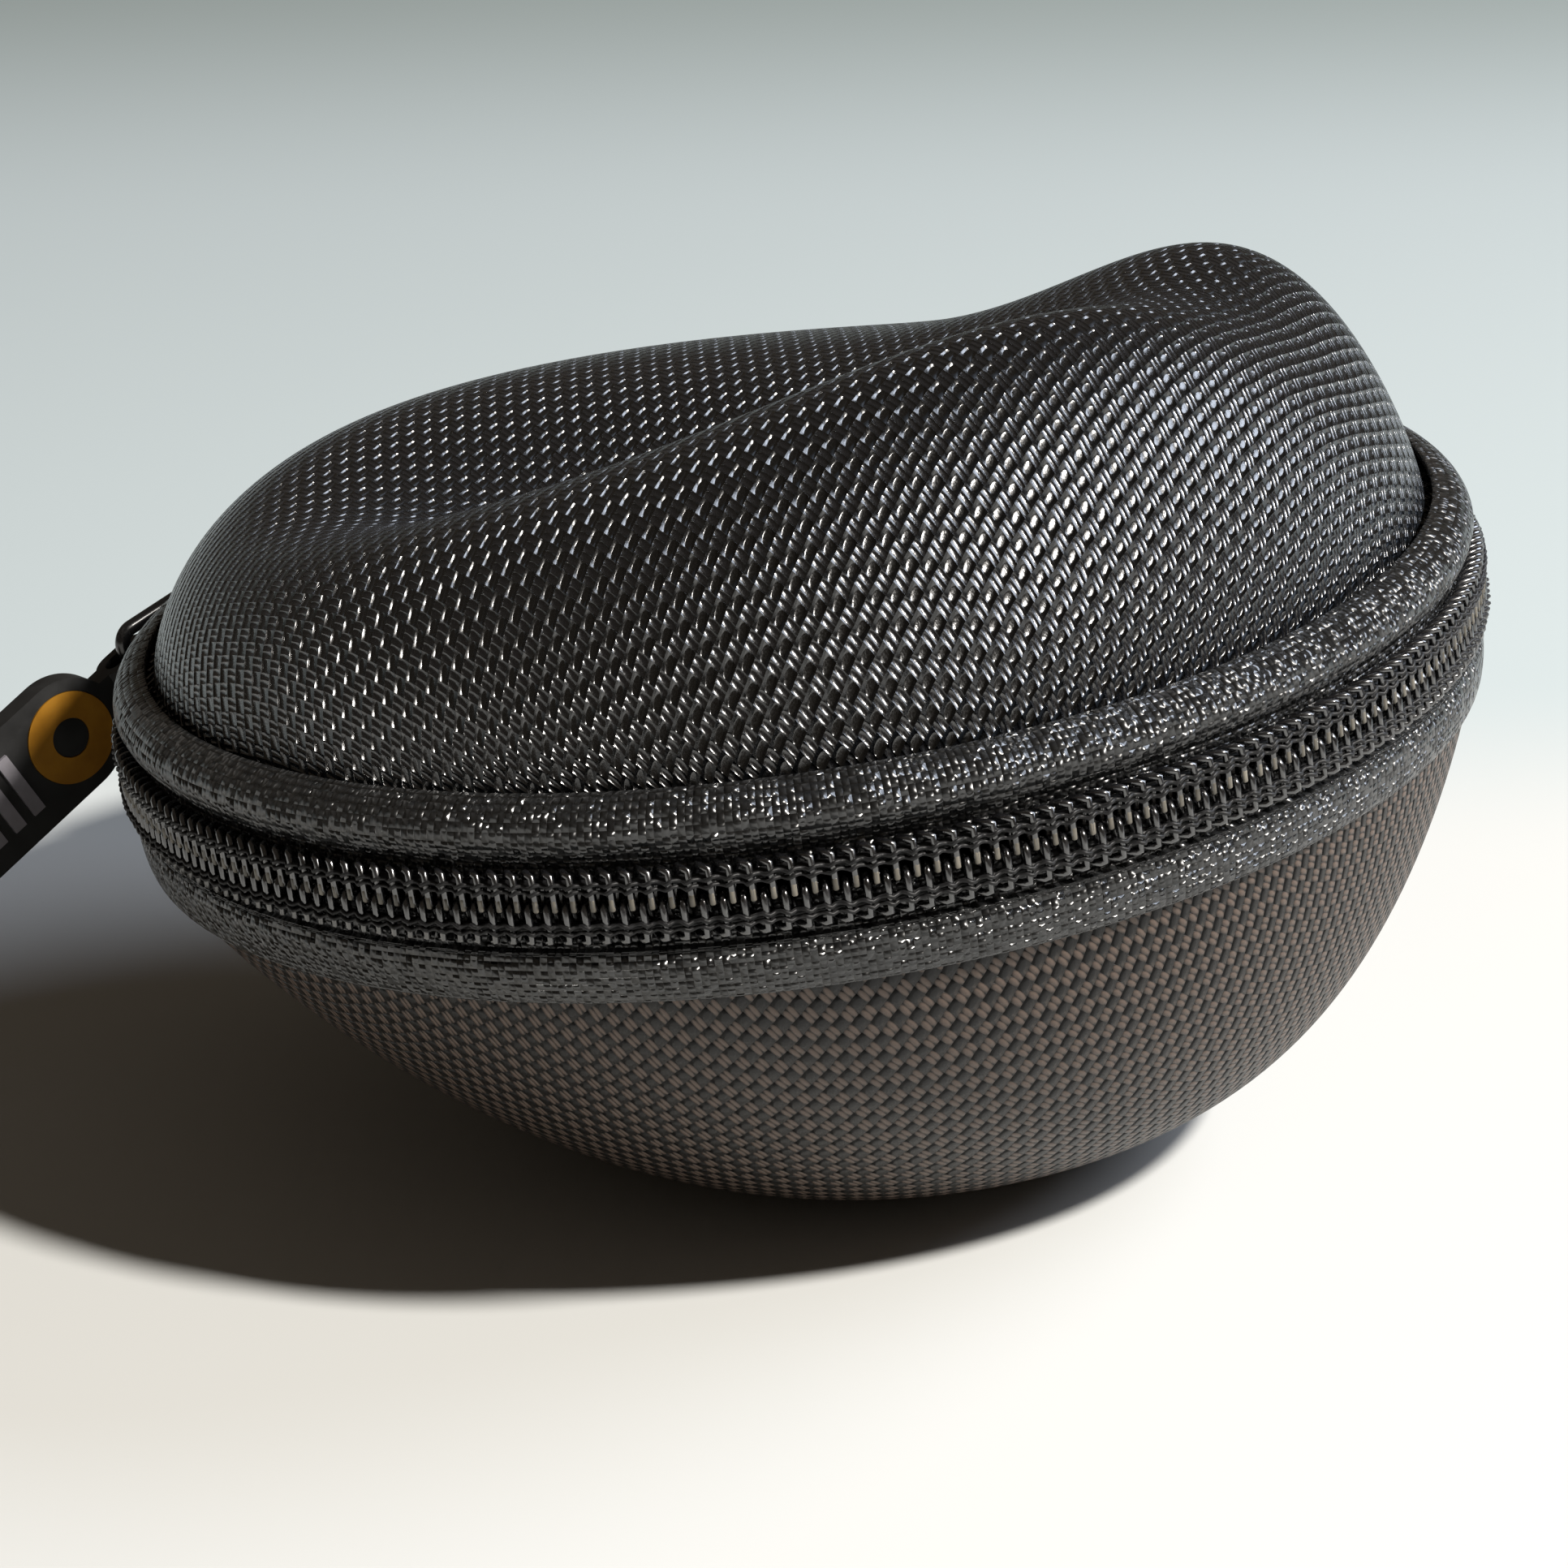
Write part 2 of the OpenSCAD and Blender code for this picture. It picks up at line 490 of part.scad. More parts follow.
lower_shell();
lower_lining();
lower_binding();
lower_zip_tape();
lower_zip_coil();
lower_coil_cord();
lower_end_stops();
lower_hinge_panel();
lower_hinge_lining();
upper_shell();
upper_lining();
upper_binding();
upper_zip_tape();
upper_zip_coil();
upper_coil_cord();
upper_end_stops();
upper_hinge_panel();
upper_hinge_lining();
pocket_mesh();
pocket_elastic();
slider_body();
slider_bridge();
pull_ring();
pull_tab();
tab_inlay_ring();
tab_grip_bars();
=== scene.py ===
# Headphone carrying case: a round zipped clamshell of ballistic nylon over
# moulded foam, with a coil zip, a fabric hinge, a brushed lining, a net
# pocket in the lid and a rubber zip pull. Sizes in the zip frame are in
# millimetres: the rim circle lies in XY and the zip plane is z = 0.
import bpy
import bmesh
import math
import numpy as np
from mathutils import Matrix, Vector


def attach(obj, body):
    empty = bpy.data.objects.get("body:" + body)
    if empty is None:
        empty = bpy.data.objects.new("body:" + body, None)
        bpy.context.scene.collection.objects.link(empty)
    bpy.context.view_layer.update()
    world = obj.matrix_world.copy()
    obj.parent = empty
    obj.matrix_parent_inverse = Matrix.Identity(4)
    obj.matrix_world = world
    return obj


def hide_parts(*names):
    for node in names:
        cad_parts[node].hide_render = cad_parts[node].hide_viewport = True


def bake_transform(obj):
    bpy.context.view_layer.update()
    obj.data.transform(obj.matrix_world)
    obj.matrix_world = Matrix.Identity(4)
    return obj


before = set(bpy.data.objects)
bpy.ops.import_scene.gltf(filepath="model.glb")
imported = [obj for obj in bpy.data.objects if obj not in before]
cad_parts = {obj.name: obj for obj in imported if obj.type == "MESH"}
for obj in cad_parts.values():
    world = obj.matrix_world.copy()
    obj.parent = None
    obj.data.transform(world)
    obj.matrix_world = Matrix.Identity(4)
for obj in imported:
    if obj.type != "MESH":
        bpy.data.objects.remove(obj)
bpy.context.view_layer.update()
scene = bpy.context.scene

# The rim leans, its right side up, on the resting flat of the base
REST_LEAN = math.radians(8.15)
RIM_HEIGHT = 43.68
STAND = (Matrix.Scale(0.001, 4) @ Matrix.Translation((0, 0, RIM_HEIGHT))
         @ Matrix.Rotation(-REST_LEAN, 4, "Y"))

# Zip: radii from the rim's axis, and spans as first and last angle in degrees
RIM_R = 59.65            # over the closed coils
COIL_MID_R = RIM_R - 1.0
COIL_PITCH, TURNS = 1.5, 168
CHAIN = (149.5, 396.0)
COIL_STEP = math.degrees(COIL_PITCH / COIL_MID_R)
TAPE_R = 57.6            # outer face of the upright tape
SWELL_R = 59.0           # crest of the tape beside the coil
TAPE_SPAN = (131.0, 409.0)
LID_TAPE_EDGE, BOWL_TAPE_EDGE = (7.9, 55.8), (8.1, 58.45)   # height and radius where a tape ends
HINGE = (46.0, 134.0)
HINGE_R, HINGE_LINING_R = TAPE_R + 1, TAPE_R - 0.6

# Shells: the covers' feet, the rims of the foam, and the flanges under the tapes
LID_R, LID_START = 55.1, 6.9
BOWL_R, BOWL_START = 57.9, 7.6
LID_EDGE_R, BOWL_EDGE_R, EDGE_Z = 56.25, 57.15, 5.2
LID_FLANGE_R, BOWL_FLANGE_R = 57.75, 58.1
FLANGE_LEAN = 0.0001   # the foot of the lid's flange past its top
WALL, GLUE, LINING = 3.2, 0.1, 0.8
CROSSING, DRAWN_CROSSING = 1.46, 2.2   # weave crossings side by side, and down the slopes

# Forms of the crown and the bowl over the plan. Tilts are rises over TILT_R along x and y.
TILT_R = 60
LID_CROWN, LID_TILT = 15.19, (4.21, 4.51)
SADDLE_AT, SADDLE_TURN = (-33.79, -6.84), -4.91
SADDLE_DEPTH, SADDLE_HALF_WIDTH, SADDLE_FADE = 11.53, 12.06, 9.55
LOBE_RISE, LOBE_AT, LOBE_TURN, LOBE_SPREAD = 24.2, (49.31, -8.31), 33.82, (38.07, 19)
BOWL_DEPTH, BOWL_TILT = 32.51, (11.85, 3.65)
BELLY_DEPTH, BELLY_AT, BELLY_SPREAD = 6.51, (-9.05, -12.24), (26.26, 26.26)
LID_SECTION, BOWL_SECTION = (4.82, 1.41), (3.81, 1.12)   # how full the dome is, how sharp its shoulder


def place(x, y, z):
    """A point of the zip frame, in the row frame in metres."""
    return STAND @ Vector((x, y, z))


# ------------------------------------------------------------------ forms
def turned(x, y, at, turn):
    """The plan seen from a point, along and across a turned axis."""
    c, s = math.cos(math.radians(turn)), math.sin(math.radians(turn))
    return (x - at[0]) * c + (y - at[1]) * s, -(x - at[0]) * s + (y - at[1]) * c


def hill(x, y, at, turn, spread):
    u, v = turned(x, y, at, turn)
    return np.exp(-((u / spread[0]) ** 2 + (v / spread[1]) ** 2) / 2)


def lid_crown(x, y):
    """Crown of the lid over the plan: a saddle with a lobe that climbs to the right."""
    u, v = turned(x, y, SADDLE_AT, SADDLE_TURN)
    valley = np.exp(-(v / SADDLE_HALF_WIDTH) ** 2 / 2) / (1 + np.exp(-u / SADDLE_FADE))
    return (LID_CROWN - LID_TILT[0] * x / TILT_R - LID_TILT[1] * y / TILT_R - SADDLE_DEPTH * valley
            + LOBE_RISE * hill(x, y, LOBE_AT, LOBE_TURN, LOBE_SPREAD))


def bowl_depth(x, y):
    return (BOWL_DEPTH + BOWL_TILT[0] * x / TILT_R + BOWL_TILT[1] * y / TILT_R
            + BELLY_DEPTH * hill(x, y, BELLY_AT, 0, BELLY_SPREAD))


def section(p, full, shoulder):
    """Share of the crown's height at p of the radius."""
    return np.maximum(0, 1 - np.minimum(p, 1) ** full) ** (1 / shoulder)


def lid_height(x, y, radius=LID_R, start=LID_START, drop=0.0):
    p = np.hypot(x, y) / radius
    return start + (lid_crown(x, y) + LID_START - start - drop) * section(p, *LID_SECTION)


def bowl_height(x, y, radius=BOWL_R, start=BOWL_START, drop=0.0):
    """The bowl's skin below the zip plane, cut off by the resting flat."""
    p = np.hypot(x, y) / radius
    flat = (RIM_HEIGHT + x * math.sin(REST_LEAN)) / math.cos(REST_LEAN)
    depth = start + (bowl_depth(x, y) + BOWL_START - start - drop) * section(p, *BOWL_SECTION)
    return -np.minimum(depth, flat - drop)


# ------------------------------------------------------------------ meshes
def swept(outline, first, last, steps):
    """Spins an outline of (radius, height) round the rim's axis into a solid ring or band."""
    bm = bmesh.new()
    full = last - first >= 360
    turn = Matrix.Rotation(math.radians(first), 4, "Z")
    verts = [bm.verts.new(turn @ Vector((r, 0, z))) for r, z in outline]
    if full:
        geom = verts + [bm.edges.new((a, b)) for a, b in zip(verts, verts[1:] + verts[:1])]
    else:
        geom = [bm.faces.new(verts)]
    bmesh.ops.spin(bm, geom=geom, cent=(0, 0, 0), axis=(0, 0, 1), dvec=(0, 0, 0),
                   angle=math.radians(last - first), steps=steps, use_merge=full, use_duplicate=False)
    bmesh.ops.remove_doubles(bm, verts=bm.verts, dist=1e-5)
    bmesh.ops.recalc_face_normals(bm, faces=bm.faces)
    return bm


def domed(skins, steps=288):
    """A flat shell spun from the pole out along one skin and back along the next. skins are
    (radii, side), and z keeps the side until the form is drawn."""
    bm = bmesh.new()
    verts = [bm.verts.new((r, 0, side)) for radii, side in skins for r in radii]
    geom = verts + [bm.edges.new((a, b)) for a, b in zip(verts, verts[1:])]
    bmesh.ops.spin(bm, geom=geom, cent=(0, 0, 0), axis=(0, 0, 1), dvec=(0, 0, 0),
                   angle=math.tau, steps=steps, use_merge=True, use_duplicate=False)
    bmesh.ops.remove_doubles(bm, verts=bm.verts, dist=1e-5)
    return bm


def rings(radius, n):
    """Radii from the pole to a rim, closer together near the rim."""
    return [radius * (1 - (1 - i / n) ** 1.7) for i in range(n + 1)]


def corners(bm):
    return np.array([v.co for v in bm.verts], float)


def draw_form(bm, places):
    for v, co in zip(bm.verts, places):
        v.co = co
    bmesh.ops.recalc_face_normals(bm, faces=bm.faces)


def piece(bm, name, uv=None, smooth=True):
    """Stands a mesh of the zip frame up in the row frame. uv is one (u, v) for each corner, in
    millimetres or in threads."""
    mesh = bpy.data.meshes.new(name)
    bmesh.ops.transform(bm, matrix=STAND, verts=bm.verts)
    bm.to_mesh(mesh)
    bm.free()
    if uv is not None:
        index = np.zeros(len(mesh.loops), np.int32)
        mesh.loops.foreach_get("vertex_index", index)
        layer = mesh.uv_layers.new(name="cloth")
        layer.data.foreach_set("uv", np.asarray(uv, np.float32)[index].ravel())
    mesh.polygons.foreach_set("use_smooth", [smooth] * len(mesh.polygons))
    obj = bpy.data.objects.new(name, mesh)
    scene.collection.objects.link(obj)
    return obj


def dress(obj, material, body=None, stands_for=()):
    obj.data.materials.clear()
    obj.data.materials.append(material)
    if body:
        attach(obj, body)
    if stands_for:
        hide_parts(*stands_for)
    return obj


def drape_counts(x, y, height):
    """Thread counts of the bias weave. Forming draws the cloth out down the slopes, so the
    crossings lie closer side by side than one above the other."""
    t = 1 - (1 - np.linspace(0, 1, 90)[None, :]) ** 2
    counts = []
    for along, across, across_first, spacing in (
            (x, y, False, CROSSING), (y, x, True, DRAWN_CROSSING)):
        s = along[:, None] * t
        o = np.broadcast_to(across[:, None], s.shape)
        z = height(o, s) if across_first else height(s, o)
        length = np.hypot(np.diff(s, axis=1), np.diff(z, axis=1)).sum(1)
        counts.append(np.sign(along) * length / spacing)
    return np.stack([counts[0] - counts[1], counts[0] + counts[1]], 1)


def wound(name, points, radius, sides=1):
    """A thread or wire through points of the zip frame, as a mesh in the row frame."""
    curve = bpy.data.curves.new(name, "CURVE")
    curve.dimensions = "3D"
    curve.bevel_depth = radius
    curve.bevel_resolution = sides
    curve.use_fill_caps = True
    line = curve.splines.new("POLY")
    line.points.add(len(points) - 1)
    line.points.foreach_set("co", [c for p in points for c in (*p, 1)])
    temp = bpy.data.objects.new(name, curve)
    mesh = bpy.data.meshes.new_from_object(temp)
    bpy.data.objects.remove(temp)
    bpy.data.curves.remove(curve)
    mesh.transform(STAND)
    mesh.polygons.foreach_set("use_smooth", [True] * len(mesh.polygons))
    mesh.name = name
    obj = bpy.data.objects.new(name, mesh)
    scene.collection.objects.link(obj)
    return obj


def on_rim(radius, degrees, z):
    a = math.radians(degrees)
    return (radius * math.cos(a), radius * math.sin(a), z)


# ------------------------------------------------------------------ materials
def srgb(code):
    """A colour written as an sRGB hex value, as linear RGBA."""
    out = []
    for i in (1, 3, 5):
        c = int(code[i:i + 2], 16) / 255
        out.append(c / 12.92 if c <= 0.04045 else ((c + 0.055) / 1.055) ** 2.4)
    return (*out, 1)


def node(tree, kind, *inputs, **settings):
    """Adds a node with its settings. inputs are links or values for its sockets in order, None
    to leave one; sockets are others by name; stops are a colour ramp's, its two ends first."""
    made = tree.nodes.new("ShaderNode" + kind)
    named, stops = settings.pop("sockets", {}), settings.pop("stops", ())
    for key, value in settings.items():
        setattr(made, key, value)
    for number, (position, shade) in enumerate(stops):
        ramp = made.color_ramp.elements
        stop = ramp[number] if number < 2 else ramp.new(position)
        stop.position, stop.color = position, srgb(shade)
    for key, value in [*enumerate(inputs), *named.items()]:
        if value is None:
            continue
        if isinstance(value, bpy.types.NodeSocket):
            tree.links.new(value, made.inputs[key])
        else:
            made.inputs[key].default_value = value
    return made.outputs[0]


def material(name, **sockets):
    """A new material with its surface shader's plain values."""
    mat = bpy.data.materials.new(name)
    mat.use_nodes = True
    shader = mat.node_tree.nodes["Principled BSDF"]
    for key, value in sockets.items():
        shader.inputs[key.replace("_", " ")].default_value = value
    return mat, mat.node_tree, shader


def plug(tree, shader, **links):
    """Links outputs to the surface shader's inputs."""
    for key, value in links.items():
        tree.links.new(value, shader.inputs[key.replace("_", " ")])


def crossings(tree, u, v):
    """The weave's cell of a point, its place from the cell's middle, and 0 or 1 by the yarn on top."""
    cells = [node(tree, "Math", way, operation="FLOOR") for way in (u, v)]
    places = [node(tree, "Math", node(tree, "Math", way, cell, operation="SUBTRACT"), 0.5, operation="SUBTRACT")
              for way, cell in zip((u, v), cells)]
    total = node(tree, "Math", *cells, operation="ADD")
    return cells, places, node(tree, "Math", total, 2.0, operation="FLOORED_MODULO")


def ballistic_nylon(name, gap_shade, yarn, sheen_tint, roughness, gloss, u_pairs):
    """Ballistic nylon, a basket weave of glossy filament: pairs of yarns pass over single
    ones, so each float is a bead with a groove. The eye sees rows of bright beads with dark
    gaps. The map counts threads, about 1.2 mm apart."""
    mat, t, shader = material(name, Roughness=roughness, IOR=1.55, Specular_IOR_Level=gloss,
                              Sheen_Weight=0.04, Sheen_Roughness=0.4, Sheen_Tint=srgb(sheen_tint))
    uv = node(t, "UVMap", uv_map="cloth")
    u, v = node(t, "SeparateXYZ", uv).node.outputs[:2]
    if not u_pairs:
        u, v = v, u
    # the threads wander a little
    wander = node(t, "TexNoise", uv, None, 0.4, 2.0)
    shift = node(t, "Math", node(t, "Math", wander, 0.5, operation="SUBTRACT"), 0.3, operation="MULTIPLY")
    u, v = node(t, "Math", u, shift, operation="ADD"), node(t, "Math", v, shift, operation="SUBTRACT")
    _, (a, b), single = crossings(t, u, v)
    # the pair, running along v, is two beads side by side; the single yarn, running along u, one
    beside = node(t, "Math", node(t, "Math", a, operation="ABSOLUTE"), 0.25, operation="SUBTRACT")
    beads, falls = [], []
    for across, half_width, along, half_length, rise in (
            (beside, 0.3, b, 0.62, 1.0), (b, 0.28, a, 0.48, 0.3)):
        spread = node(t, "Math", across, operation="ABSOLUTE")
        bulge = node(t, "Math", node(t, "Math", spread, half_width, operation="DIVIDE"), 2.0, operation="POWER")
        reach = node(t, "Math", node(t, "Math", along, half_length, operation="DIVIDE"), 2.0, operation="POWER")
        left = node(t, "Math", node(t, "Math", 1.0, bulge, operation="SUBTRACT"), reach, operation="SUBTRACT")
        dome = node(t, "Math", node(t, "Math", left, 0.0, operation="MAXIMUM"), operation="SQRT")
        beads.append(node(t, "Math", dome, rise, operation="MULTIPLY"))
        fall = node(t, "Math", left, 0.0, operation="MINIMUM")
        falls.append(node(t, "Math", fall, 0.7, operation="MULTIPLY"))
    relief, valley = (node(t, "Mix", single, data_type="FLOAT", sockets={2: pair_side, 3: single_side})
                      for pair_side, single_side in (beads, falls))
    filaments = node(t, "TexNoise", uv, None, 7.0, 2.0)
    grain = node(t, "Math", filaments, 0.07, operation="MULTIPLY")
    height = node(t, "Math", node(t, "Math", relief, valley, operation="ADD"), grain, operation="ADD")
    # painted shade: the colour runs from near black in the gaps between the beads to the yarn's own colour on
    # their tops, standing in for the shade the bump cannot cast
    plug(t, shader, Base_Color=node(t, "ValToRGB", relief, stops=((0.35, gap_shade), (0.9, yarn))),
         Roughness=node(t, "MapRange", filaments, 0.3, 0.7, roughness - 0.06, roughness + 0.08),
         Normal=node(t, "Bump", 1.0, 0.00025, sockets={"Height": height}))
    return mat


def zip_tape_cloth(name, gap_shade, yarn, pitch_along=0.58, pitch_across=0.42):
    """Polyester zip tape, a close plain weave of bright filament: a dull dark band that
    glitters where single floats face the light. The pitches are the threads', in mm."""
    mat, t, shader = material(name, Roughness=0.3, IOR=1.55, Specular_IOR_Level=0.75, Sheen_Weight=0.02)
    uv = node(t, "UVMap", uv_map="cloth")
    along, across = node(t, "SeparateXYZ", uv).node.outputs[:2]
    (iu, iv), (a, b), short = crossings(t, node(t, "Math", along, pitch_along, operation="DIVIDE"),
                                        node(t, "Math", across, pitch_across, operation="DIVIDE"))
    # each float is a bead of two cosines, and the short ones lie lower
    long_float, short_float = (
        node(t, "Math", *(node(t, "Math", node(t, "Math", way, turn, operation="MULTIPLY"), operation="COSINE")
                          for way, turn in ((a, turns[0]), (b, turns[1]))), operation="MULTIPLY")
        for turns in ((2.2, 3.0), (3.0, 2.4)))
    short_float = node(t, "Math", short_float, 0.6, operation="MULTIPLY")
    relief = node(t, "Mix", short, data_type="FLOAT", sockets={2: long_float, 3: short_float})
    # each float leans its own way, so some of them glint
    chance = node(t, "TexWhiteNoise", node(t, "CombineXYZ", iu, iv, 0.0))
    chances = node(t, "SeparateColor", chance.node.outputs["Color"]).node
    leans = (node(t, "Math", node(t, "Math", chances.outputs[i], 0.5, operation="SUBTRACT"), way,
                  operation="MULTIPLY") for i, way in enumerate((a, b)))
    tilt = node(t, "Math", *leans, operation="ADD")
    height = node(t, "Math", relief, node(t, "Math", tilt, 3.4, operation="MULTIPLY"), operation="ADD")
    # painted shade: the colour darkens to near black between the floats, where the bump casts no shadow, and
    # takes the yarn's own colour on their tops
    plug(t, shader, Base_Color=node(t, "ValToRGB", relief, stops=((0.1, gap_shade), (0.9, yarn))),
         Roughness=node(t, "MapRange", chance, 0.0, 1.0, 0.2, 0.38),
         Normal=node(t, "Bump", 1.0, 0.0002, sockets={"Height": height}))
    return mat


def coil_nylon():
    """Nylon monofilament, extruded and heat set: smooth, glossy black, with
    short pale glints along each turn."""
    mat, t, shader = material("black_nylon_monofilament", Roughness=0.24, IOR=1.6,
                              Specular_IOR_Level=1.0, Coat_Weight=0.5)
    place_at = node(t, "TexCoord").node.outputs["Object"]
    streak = node(t, "TexNoise", place_at, None, 900.0, 2.0)
    plug(t, shader, Base_Color=node(t, "ValToRGB", streak, stops=((0.35, "#0b0b0c"), (0.7, "#17171a"))),
         Roughness=node(t, "MapRange", streak, 0.3, 0.7, 0.16, 0.3))
    return mat


def sewing_thread():
    """Bonded polyester sewing thread: dull black, twisted, slightly furry."""
    mat, t, shader = material("bonded_polyester_thread", Roughness=0.5, Specular_IOR_Level=0.35,
                              Sheen_Weight=0.04)
    place_at = node(t, "TexCoord").node.outputs["Object"]
    twist = node(t, "TexNoise", place_at, None, 2500.0, 3.0)
    plug(t, shader, Base_Color=node(t, "ValToRGB", twist, stops=((0.3, "#050505"), (0.75, "#18181a"))),
         Normal=node(t, "Bump", 0.6, 0.00006, sockets={"Height": twist}))
    return mat


def enamelled_zinc():
    """Die-cast zinc alloy, stove enamelled black: an even satin gloss, faint
    orange peel, and a little metal showing through at worn places."""
    mat, t, shader = material("black_enamelled_zinc", Roughness=0.28, Coat_Weight=0.4, Coat_Roughness=0.15)
    place_at = node(t, "TexCoord").node.outputs["Object"]
    peel = node(t, "TexNoise", place_at, None, 1400.0, 2.0)
    wear = node(t, "TexNoise", place_at, None, 420.0, 6.0, 0.7)
    plug(t, shader, Base_Color=node(t, "ValToRGB", wear, stops=((0.62, "#121213"), (0.78, "#3a3a3a"))),
         Roughness=node(t, "MapRange", wear, 0.6, 0.8, 0.25, 0.5),
         Normal=node(t, "Bump", 0.25, 0.00003, sockets={"Height": peel}))
    return mat


def moulded_rubber(name, low, high, rough, grain=1800.0):
    """Moulded PVC rubber, grained by the mould, with a dusty bloom that breaks up its colour; or the lid coil's
    nylon heads, worn to a dull polish and grained by the wear, whose pale colour is also a painted highlight."""
    mat, t, shader = material(name, Roughness=rough, Specular_IOR_Level=0.4)
    place_at = node(t, "TexCoord").node.outputs["Object"]
    mould = node(t, "TexNoise", place_at, None, grain, 3.0)
    dust = node(t, "TexNoise", place_at, None, 260.0, 4.0)
    plug(t, shader, Base_Color=node(t, "ValToRGB", dust, stops=((0.35, low), (0.75, high))),
         Roughness=node(t, "MapRange", dust, 0.3, 0.7, rough - 0.08, rough + 0.08),
         Normal=node(t, "Bump", 0.35, 0.00005, sockets={"Height": mould}))
    return mat


def brushed_lining():
    """Brushed tricot lining bonded to the foam: a short soft pile that greys
    where it is stroked."""
    mat, t, shader = material("brushed_tricot_lining", Roughness=0.9, Sheen_Weight=0.8, Sheen_Roughness=0.5,
                              Sheen_Tint=srgb("#8c8c94"))
    place_at = node(t, "TexCoord").node.outputs["Object"]
    pile = node(t, "TexNoise", place_at, None, 2200.0, 4.0)
    nap = node(t, "TexNoise", place_at, None, 90.0, 3.0)
    mixed = node(t, "Math", node(t, "Math", pile, 0.6, operation="MULTIPLY"),
                 node(t, "Math", nap, 0.4, operation="MULTIPLY"), operation="ADD")
    plug(t, shader, Base_Color=node(t, "ValToRGB", mixed, stops=((0.3, "#1d1d20"), (0.7, "#3c3c41"))),
         Normal=node(t, "Bump", 0.7, 0.00018, sockets={"Height": pile}))
    return mat


def ribbed_webbing(name, low, high, rib, direction):
    """Woven edge tape or elastic: close ribs across its length, dull, with a soft sheen. rib
    is their pitch in mm, and direction the map's axis that they follow one another along."""
    mat, t, shader = material(name, Roughness=0.7, Sheen_Weight=0.3)
    uv = node(t, "UVMap", uv_map="cloth")
    parts = node(t, "SeparateXYZ", uv).node
    run = node(t, "Math", parts.outputs[direction], math.tau / rib, operation="MULTIPLY")
    wave = node(t, "Math", node(t, "Math", run, operation="SINE"), 0.5, operation="MULTIPLY")
    ribs = node(t, "Math", wave, 0.5, operation="ADD")
    fray = node(t, "TexNoise", uv, None, 6.0, 2.0)
    height = node(t, "Math", ribs, node(t, "Math", fray, 0.4, operation="MULTIPLY"), operation="ADD")
    plug(t, shader, Base_Color=node(t, "ValToRGB", height, stops=((0.2, low), (1.0, high))),
         Normal=node(t, "Bump", 0.8, 0.00015, sockets={"Height": height}))
    return mat


def pocket_net():
    """Polyester warp-knit net: open holes on a square grid 1.8 mm apart between flat
    knitted ribs, so the lining shows through."""
    mat, t, shader = material("warp_knit_net", Roughness=0.6, Sheen_Weight=0.3)
    mat.surface_render_method = "DITHERED"
    uv = node(t, "UVMap", uv_map="cloth")
    holes = node(t, "TexVoronoi", uv, voronoi_dimensions="2D", sockets={"Randomness": 0.0, "Scale": 0.55})
    knit = node(t, "TexNoise", uv, None, 5.0, 3.0)
    plug(t, shader, Alpha=node(t, "MapRange", holes, 0.30, 0.36, 0.0, 1.0),
         Base_Color=node(t, "ValToRGB", knit, stops=((0.3, "#101012"), (0.7, "#2c2c30"))),
         Normal=node(t, "Bump", 0.7, 0.0001, sockets={"Height": knit}))
    return mat


# ------------------------------------------------------------------ camera, floor, light
def set_camera(rise=20.51, roll=-8.6902, distance=340.008, shift=(-1.0129, -13.074), lens=89.24):
    """The camera in the zip frame: above the rim's front, rolled with the lean."""
    rise, roll = math.radians(rise), math.radians(roll)
    back = Vector((0, -math.cos(rise), math.sin(rise)))
    up = Vector((0, math.sin(rise), math.cos(rise)))
    right = Vector((1, 0, 0))
    r = right * math.cos(roll) + up * math.sin(roll)
    u = -right * math.sin(roll) + up * math.cos(roll)
    at = back * distance + r * shift[0] + u * shift[1]
    turn = Matrix.Rotation(-REST_LEAN, 3, "Y")
    basis = Matrix((turn @ r, turn @ u, turn @ back)).transposed().to_4x4()
    data = bpy.data.cameras.new("camera")
    data.sensor_width, data.lens = 36, lens
    data.clip_start, data.clip_end = 0.01, 50
    cam = bpy.data.objects.new("camera", data)
    cam.matrix_world = Matrix.Translation(place(*at)) @ basis
    scene.collection.objects.link(cam)
    scene.camera = cam


def set_floor(grey_from=0.055, dark_at=0.7):
    """Matt painted board, warm off-white near, cool grey beyond the case and darker far off."""
    bm = bmesh.new()
    bmesh.ops.create_grid(bm, x_segments=4, y_segments=4, size=6)
    mesh = bpy.data.meshes.new("floor")
    bm.to_mesh(mesh)
    bm.free()
    floor = bpy.data.objects.new("floor", mesh)
    scene.collection.objects.link(floor)
    mat, t, shader = material("painted_board", Roughness=0.85, Specular_IOR_Level=0.2)
    place_at = node(t, "TexCoord").node.outputs["Object"]
    y = node(t, "SeparateXYZ", place_at).node.outputs[1]
    soft = node(t, "TexNoise", place_at, None, 3.0, 2.0)
    y = node(t, "Math", y, node(t, "Math", soft, 0.01, operation="MULTIPLY"), operation="ADD")
    colour = node(t, "ValToRGB", node(t, "MapRange", y, grey_from, dark_at, 0.0, 1.0),
                  stops=((0.0, "#c4c5c3"), (1.0, "#98a19e"), (0.1, "#b1babb"), (0.5, "#b1babb")))
    colour.node.color_ramp.interpolation = "EASE"
    plug(t, shader, Base_Color=colour)
    mesh.materials.append(mat)


def area_light(name, at, size, power, colour, aim=(0, 0, 0.03)):
    data = bpy.data.lights.new(name, "AREA")
    data.shape, data.size, data.energy = "DISK", size, power
    data.color = srgb(colour)[:3]
    lamp = bpy.data.objects.new(name, data)
    lamp.location = at
    lamp.rotation_mode = "QUATERNION"
    lamp.rotation_quaternion = (Vector(aim) - Vector(at)).to_track_quat("-Z", "Y")
    scene.collection.objects.link(lamp)


